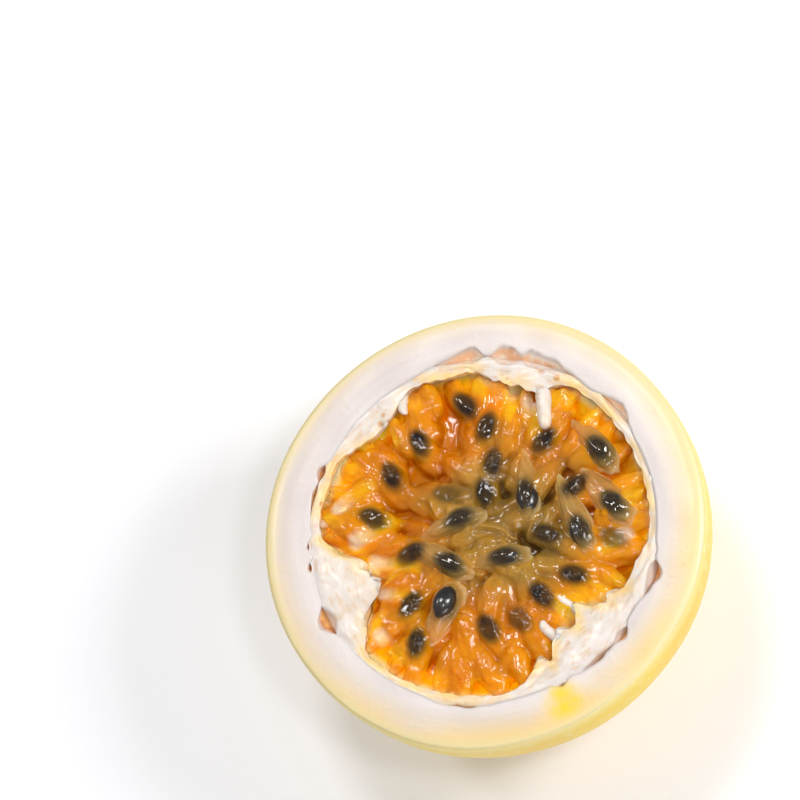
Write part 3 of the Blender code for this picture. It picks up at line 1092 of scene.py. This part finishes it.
def bed_material():
    material, tree, gel, place = new_material(
        "deep_gel", Roughness=0.12, IOR=1.42, Subsurface_Weight=0.6, Subsurface_Scale=0.0020,
        Subsurface_Radius=(1.0, 0.5, 0.08))
    # painted shade: the bed under the sacs is darker than the sacs themselves, and the last colour is the
    # painted shade of its creases by the wall
    tone = gel_colour(tree, place, (0.70, 0.26, 0.001, 1), (0.18, 0.09, 0.012, 1),
                      (0.56, 0.18, 0.001, 1))
    tree.links.new(tone, gel.inputs["Base Color"])
    tree.links.new(wet_skin(tree, place, 420.0, 0.4, 0.0005), gel.inputs["Normal"])
    return material


CLEAR_GEL = sac_material()
DEEP_GEL = bed_material()

# %% [markdown]
# ## The gel bed
#
# The bed fills the hollow under the sacs. A flat grid is rounded to the wall's outline, each
# of its points is raised where a sac lies over it, and its border is extruded down and closed.

# %% Gel bed
BED_DEPTH = 3.9 * MM
BED_BODY = 7.0 * MM
WALL_RISE = 2.0 * MM
WALL_BAND = 0.15
BED_RIPPLE = 0.35 * MM
BED_SWELL = 1.3 * MM
BED_OVERLAP = 0.1 * MM


def sac_rise(x, y, places):
    """How high the sacs stand at a place, as a share of a sac's height."""
    rise = 0.0
    for centre, heading, _ in places:
        ahead = (x - centre.x) * math.cos(heading) + (y - centre.y) * math.sin(heading)
        aside = (y - centre.y) * math.cos(heading) - (x - centre.x) * math.sin(heading)
        along = ahead / SAC_HALF_LENGTH
        across = aside / (SAC_HALF_WIDTH * (0.8 + 0.2 * along))
        inside = 1 - along * along - across * across
        if inside > 0:
            rise = max(rise, math.sqrt(inside))
    return rise


def make_bed():
    deselect_everything()
    bpy.ops.mesh.primitive_grid_add(x_subdivisions=150, y_subdivisions=150, size=2.0)
    bed = bpy.context.active_object
    bed.name = "gel_bed"
    for vertex in bed.data.vertices:
        way = Vector((vertex.co.x, vertex.co.y, 0.0))
        share = max(abs(way.x), abs(way.y))
        place = Vector((0.0, 0.0, 0.0))
        if share > 1e-6:
            way.normalize()
            place = way * share * (lining_inside(way) + BED_OVERLAP)
        place.z = CUT_ABOVE_MIDDLE - BED_DEPTH + BED_SWELL * sac_rise(place.x, place.y, LOWER_SACS)
        place.z += BED_RIPPLE * noise.noise(place * 400)
        place.z += WALL_RISE * max(0.0, (share - 1 + WALL_BAND) / WALL_BAND) ** 2
        vertex.co = place
    bpy.ops.object.mode_set(mode="EDIT")
    select_open_rims()
    bpy.ops.mesh.extrude_region_move(TRANSFORM_OT_translate={"value": (0, 0, -BED_BODY)})
    bpy.ops.transform.resize(value=(0.9, 0.9, 1.0), center_override=(0, 0, 0))
    bpy.ops.mesh.edge_face_add()
    bpy.ops.mesh.select_all(action="SELECT")
    bpy.ops.mesh.normals_make_consistent(inside=False)
    bpy.ops.object.mode_set(mode="OBJECT")
    mark(bed, "near_lining", near_lining)
    finish_piece(bed, DEEP_GEL)
    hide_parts("pulp")


make_bed()

# %% [markdown]
# ## The sacs
#
# Each sac is a drop shaped from a ball, bent and wrinkled by its own noise and kept inside the lining.
# Where they meet the wall the sacs run out in narrow ridges, which are smaller drops, and on the left a
# few more, listed one by one, bulge between the pegs. All are joined and melted into one body by a voxel
# remesh, which costs sharp corners but leaves no gap. The middle, where the skins caught the blade, is
# crumpled further, and a shallow groove follows each stalk that shows.

# %% Gel sacs
WALL_RIDGES = 38
# sacs that bulge between the pegs on the left: bearing, distance from the middle, bearing of
# the blunt end, half length and half width
LOBES = (
    (162, 21.8 * MM, 27, 4.2 * MM, 2.2 * MM), (173, 20.6 * MM, 25, 4.6 * MM, 2.1 * MM),
    (184, 18.4 * MM, 27, 4.6 * MM, 2.1 * MM), (217, 16.4 * MM, 5, 4.2 * MM, 1.9 * MM),
    (227, 18.6 * MM, 8, 4.2 * MM, 2.0 * MM), (238, 20.4 * MM, 20, 4.0 * MM, 2.0 * MM),
)
LOBE_DEPTH = 2.3 * MM
LOBE_HALF_HEIGHT = 2.5 * MM
RIDGE_HALF_HEIGHT = 1.8 * MM
# how deep each kind of sac is wrinkled
RIDGE_WRINKLE = 0.15 * MM
LOBE_WRINKLE = 0.2 * MM
SAC_WRINKLE = 0.45 * MM
LOOSE_WRINKLE = 0.5 * MM
INTO_LINING = 0.1 * MM
MELT = 0.30 * MM
CRUMPLE = 0.60 * MM
CRUMPLE_REACH = 15 * MM
# how many folds to a metre, and how many times they wander off in that length
CRUMPLE_GRAIN = 260
WANDER_GRAIN = 150


def keep_inside(point, margin):
    """Pull a point in along its ray until it is clear of the lining."""
    limit = lining_inside(point) - margin
    return point * min(1.0, limit / point.length)


def add_sac(centre, heading, size, wrinkled, number):
    """A drop with its blunt end ahead; size is its half length, half width and half height.

    The mark `rim` is 0 on its top and 1 from its widest line down.
    """
    deselect_everything()
    bpy.ops.mesh.primitive_ico_sphere_add(subdivisions=4, radius=1.0)
    drop = bpy.context.active_object
    turn = Matrix.Rotation(heading, 3, "Z")
    offset = Vector((number * 3.1, number * 1.7, 0.0))
    bend = noise.noise(offset) * 0.28 * size[0]
    mark(drop, "rim", lambda ball: 1 - max(0.0, ball.z))
    for vertex in drop.data.vertices:
        ball = vertex.co.copy()
        taper = 0.80 + 0.20 * ball.x - 0.18 * max(0.0, -ball.x) ** 3
        reach = size[0] * (1.24 if ball.x < 0 else 1.0)
        local = Vector((ball.x * reach, ball.y * size[1] * taper + bend * ball.x * ball.x,
                        ball.z * size[2] * taper))
        crease = noise.noise(Vector((ball.x * 1.6, ball.y * 3.4, ball.z * 3.4)) + offset)
        local += ball * crease * wrinkled
        vertex.co = keep_inside(centre + turn @ local, -INTO_LINING)
    return drop


def wall_ridges():
    """The narrow ends of sacs round the wall."""
    draw = random.Random(RANDOM_SEED + 3)
    drops = []
    for step in range(WALL_RIDGES):
        turn = math.radians(step * 360 / WALL_RIDGES + draw.uniform(-2.5, 2.5))
        way = flat_way(turn)
        size = (draw.uniform(3.0, 5.6) * MM, draw.uniform(1.4, 2.5) * MM, RIDGE_HALF_HEIGHT)
        centre = way * (lining_inside(way) - size[0] * 0.85)
        centre.z = CUT_ABOVE_MIDDLE - draw.uniform(1.8, 2.8) * MM
        heading = turn + math.pi + draw.uniform(-0.25, 0.25)
        drops.append(add_sac(centre, heading, size, RIDGE_WRINKLE, step + 400))
    return drops


def lobes():
    """The listed sacs between the pegs."""
    drops = []
    for number, (bearing, far, blunt, length, width) in enumerate(LOBES):
        turn = math.radians(bearing)
        centre = Vector((far * math.cos(turn), far * math.sin(turn), CUT_ABOVE_MIDDLE - LOBE_DEPTH))
        size = (length, width, LOBE_HALF_HEIGHT)
        drops.append(add_sac(centre, math.radians(blunt), size, LOBE_WRINKLE, number + 500))
    return drops


def add_modifier(piece, name, kind, **settings):
    """Add a modifier to the active piece and apply it at once."""
    modifier = piece.modifiers.new(name, kind)
    for field, value in settings.items():
        setattr(modifier, field, value)
    bpy.ops.object.modifier_apply(modifier=modifier.name)


def crumple(piece, amount, reach):
    """Raise sharp folds in the skin, most in the middle."""
    for vertex in piece.data.vertices:
        point = vertex.co
        share = max(0.0, 1 - math.hypot(point.x, point.y) / reach)
        bent = point * CRUMPLE_GRAIN + noise.noise_vector(point * WANDER_GRAIN) * 1.5
        fold = 1 - abs(noise.noise(bent)) * 2.5
        vertex.co.z += amount * (0.25 + 0.75 * share) * (fold - 0.4)


def make_sacs():
    """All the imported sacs, melted into one wet body."""
    size = (SAC_HALF_LENGTH, SAC_HALF_WIDTH, SAC_HALF_HEIGHT)
    drops = wall_ridges() + lobes()
    for number, (centre, heading, _) in enumerate(UPPER_SACS + LOWER_SACS):
        drops.append(add_sac(centre, heading, size, SAC_WRINKLE, number))
    sacs = join_all(drops, "gel_sacs")
    add_modifier(sacs, "melt", "REMESH", mode="VOXEL", voxel_size=MELT, use_smooth_shade=True)
    add_modifier(sacs, "soften", "SMOOTH", factor=0.5, iterations=4)
    crumple(sacs, CRUMPLE, CRUMPLE_REACH)
    stalks = [along_stalks(vertex.co) for vertex in sacs.data.vertices]
    for vertex, (shown, _) in zip(sacs.data.vertices, stalks):
        vertex.co.z -= STALK_GROOVE * shown
    mark(sacs, "seed_under", seed_under)
    mark(sacs, "near_lining", near_lining)
    store(sacs, "stalk_under", [shown for shown, _ in stalks])
    store(sacs, "stalk_foot", [foot for _, foot in stalks])
    finish_piece(sacs, CLEAR_GEL)
    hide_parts("pulp")


make_sacs()

# %% [markdown]
# ## The loose sacs as a piece
#
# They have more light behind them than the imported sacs, so they are paler, and their skins
# stand in finer wrinkles.

# %% Loose sacs
def pale_gel_material():
    material, tree, gel, place = new_material(
        "pale_gel", Roughness=0.06, IOR=1.42, Transmission_Weight=0.50, Specular_IOR_Level=0.6,
        Subsurface_Weight=0.6, Subsurface_Scale=0.0012, Subsurface_Radius=(1.0, 0.6, 0.2),
        Coat_Weight=0.25, Coat_Roughness=0.08)
    tone = blend(tree, mottle(tree, place, 200.0, 0.35, 0.65),
                 (0.70, 0.46, 0.14, 1), (0.50, 0.31, 0.07, 1))
    # paler from the widest line down: the skin seen edge-on, with painted rim light
    rim_lit = blend(tree, ramp(tree, read_mark(tree, "rim"), 0.45, 0.95), tone,
                    (0.92, 0.78, 0.42, 1))
    veiled = times(tree, read_mark(tree, "seed_under"), 0.92)
    seeded = blend(tree, veiled, rim_lit, VEILED_SEED)
    tree.links.new(seeded, gel.inputs["Base Color"])
    tree.links.new(wet_skin(tree, place, 380.0, 0.6, 0.0005), gel.inputs["Normal"])
    let_light_through(tree, gel, (0.95, 0.82, 0.60, 1))
    return material


PALE_GEL = pale_gel_material()


def make_loose_sacs():
    drops = []
    for number, (x, y, blunt, length, width, _) in enumerate(LOOSE_SACS):
        size = (length, width, SAC_HALF_HEIGHT)
        drops.append(add_sac(loose_centre(x, y), math.radians(blunt), size, LOOSE_WRINKLE, number + 200))
    loose = join_all(drops, "loose_sacs")
    mark(loose, "seed_under", seed_under)
    finish_piece(loose, PALE_GEL)
    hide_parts("pulp")


make_loose_sacs()

# %% [markdown]
# ## The seeds
#
# A seed is a flat drop, nearly black, with a fine net of pits and a skin that shines. Each is
# a ball pressed flat and drawn to a point at the stalk end, and tipped a little by chance, as
# seeds lie in gel. The pits are too fine to model, so a Voronoi pattern gives them as a bump.

# %% Seeds
def seed_material():
    material, tree, shell, place = new_material(
        "dark_seed", Roughness=0.30, Coat_Weight=0.7, Coat_Roughness=0.06)
    tone = blend(tree, mottle(tree, place, 500.0), (0.006, 0.005, 0.006, 1), (0.020, 0.014, 0.012, 1))
    tree.links.new(tone, shell.inputs["Base Color"])
    pits = add_node(tree, "ShaderNodeTexVoronoi", Vector=place, Scale=1900.0)
    relief = add_node(tree, "ShaderNodeBump", Height=pits.outputs["Distance"], Strength=0.4,
                      Distance=0.0001)
    tree.links.new(relief.outputs["Normal"], shell.inputs["Normal"])
    return material


DARK_SEED = seed_material()


def add_seed(middle, heading, number):
    deselect_everything()
    bpy.ops.mesh.primitive_ico_sphere_add(subdivisions=4, radius=1.0)
    seed = bpy.context.active_object
    draw = random.Random(number)
    turn = Matrix.Rotation(heading, 3, "Z")
    tilt = Matrix.Rotation(draw.uniform(-0.35, 0.35), 3, "X") @ Matrix.Rotation(
        draw.uniform(-0.25, 0.25), 3, "Y")
    for vertex in seed.data.vertices:
        ball = vertex.co.copy()
        point = 1 - 0.45 * max(0.0, -ball.x) ** 2
        local = Vector((ball.x * SEED_HALF_LENGTH, ball.y * SEED_HALF_WIDTH * point,
                        ball.z * SEED_HALF_HEIGHT * point))
        vertex.co = keep_inside(middle + turn @ (tilt @ local), SEED_CLEAR)
    return seed


def make_seeds():
    shells = [add_seed(middle, heading, number)
              for number, (middle, heading, _) in enumerate(SEEDS)]
    piece = join_all(shells, "seeds")
    finish_piece(piece, DARK_SEED)
    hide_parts("pulp")


make_seeds()

# %% [markdown]
# ## Floor, light and camera
#
# The half lies on a plain white floor. Wet gel shows each light as a small highlight, so five
# small panels are used and no large one: the strongest on the right gives the bright side. A
# dim white sky fills the shadows, and looks bright only to the camera. The camera is far off
# with a long lens, looks down on the cut face, and is turned a little to one side.

# %% Floor
def make_floor():
    deselect_everything()
    bpy.ops.mesh.primitive_plane_add(size=3.0, location=(0, 0, 0))
    floor = bpy.context.active_object
    floor.name = "floor"
    matte = new_material("pale_floor", Roughness=0.9, Base_Color=(0.90, 0.91, 0.95, 1),
                         Emission_Color=(1.0, 1.0, 1.0, 1), Emission_Strength=0.12)[0]
    floor.data.materials.append(matte)


make_floor()

# %% Lights
def add_panel(name, place, size, power):
    deselect_everything()
    bpy.ops.object.light_add(type="AREA", location=place)
    panel = bpy.context.active_object
    panel.name = name
    panel.data.shape = "SQUARE"
    panel.data.size = size
    panel.data.energy = power
    aim = MIDDLE - Vector(place)
    panel.rotation_euler = aim.to_track_quat("-Z", "Y").to_euler()


def make_sky():
    world = bpy.data.worlds.new("bright_sky")
    world.use_nodes = True
    tree = world.node_tree
    lighting = tree.nodes["Background"]
    lighting.inputs["Color"].default_value = (1.0, 1.0, 1.0, 1)
    lighting.inputs["Strength"].default_value = 0.30
    backdrop = add_node(tree, "ShaderNodeBackground", Color=(1.0, 1.0, 1.0, 1), Strength=0.9)
    seen = tree.nodes.new("ShaderNodeLightPath").outputs["Is Camera Ray"]
    both = tree.nodes.new("ShaderNodeMixShader")
    tree.links.new(seen, both.inputs[0])
    tree.links.new(lighting.outputs[0], both.inputs[1])
    tree.links.new(backdrop.outputs[0], both.inputs[2])
    tree.links.new(both.outputs[0], tree.nodes["World Output"].inputs["Surface"])
    bpy.context.scene.world = world


make_sky()
add_panel("right_panel", (0.42, 0.10, 0.42), 0.16, 1.6)
add_panel("top_panel", (-0.05, 0.22, 0.65), 0.12, 1.2)
add_panel("near_panel", (0.22, -0.10, 0.62), 0.06, 0.5)
add_panel("left_panel", (-0.34, 0.16, 0.52), 0.09, 0.6)
add_panel("low_panel", (0.40, -0.40, 0.22), 0.20, 0.6)
bpy.context.scene.view_settings.view_transform = "Standard"

# %% Camera
CAMERA_TILT = math.radians(21)
CAMERA_SIDE = math.radians(-48)
CAMERA_DISTANCE = 0.70
VIEW_WIDTH = 0.1250
# where the middle of the ball stands off the middle of the view, to the right and up
FRUIT_OFF_CENTRE = (13.5 * MM, -20.9 * MM)


def make_camera():
    """Stand off along the tilted line of sight, with the image's up side near +Y."""
    side = flat_way(CAMERA_SIDE)
    sight = side * math.sin(CAMERA_TILT) + Vector((0, 0, math.cos(CAMERA_TILT)))
    foreshortened = side * math.cos(CAMERA_TILT) - Vector((0, 0, math.sin(CAMERA_TILT)))
    level = Vector((-math.sin(CAMERA_SIDE), math.cos(CAMERA_SIDE), 0.0))
    right = foreshortened * math.cos(CAMERA_SIDE) - level * math.sin(CAMERA_SIDE)
    up = foreshortened * math.sin(CAMERA_SIDE) + level * math.cos(CAMERA_SIDE)
    aim = MIDDLE - right * FRUIT_OFF_CENTRE[0] - up * FRUIT_OFF_CENTRE[1]
    deselect_everything()
    bpy.ops.object.camera_add(location=aim + sight * CAMERA_DISTANCE)
    camera = bpy.context.active_object
    camera.rotation_euler = Matrix((right, up, sight)).transposed().to_euler()
    camera.data.sensor_width = 36.0
    camera.data.lens = 36.0 * CAMERA_DISTANCE / VIEW_WIDTH
    camera.data.clip_start = 0.01
    bpy.context.scene.camera = camera


make_camera()
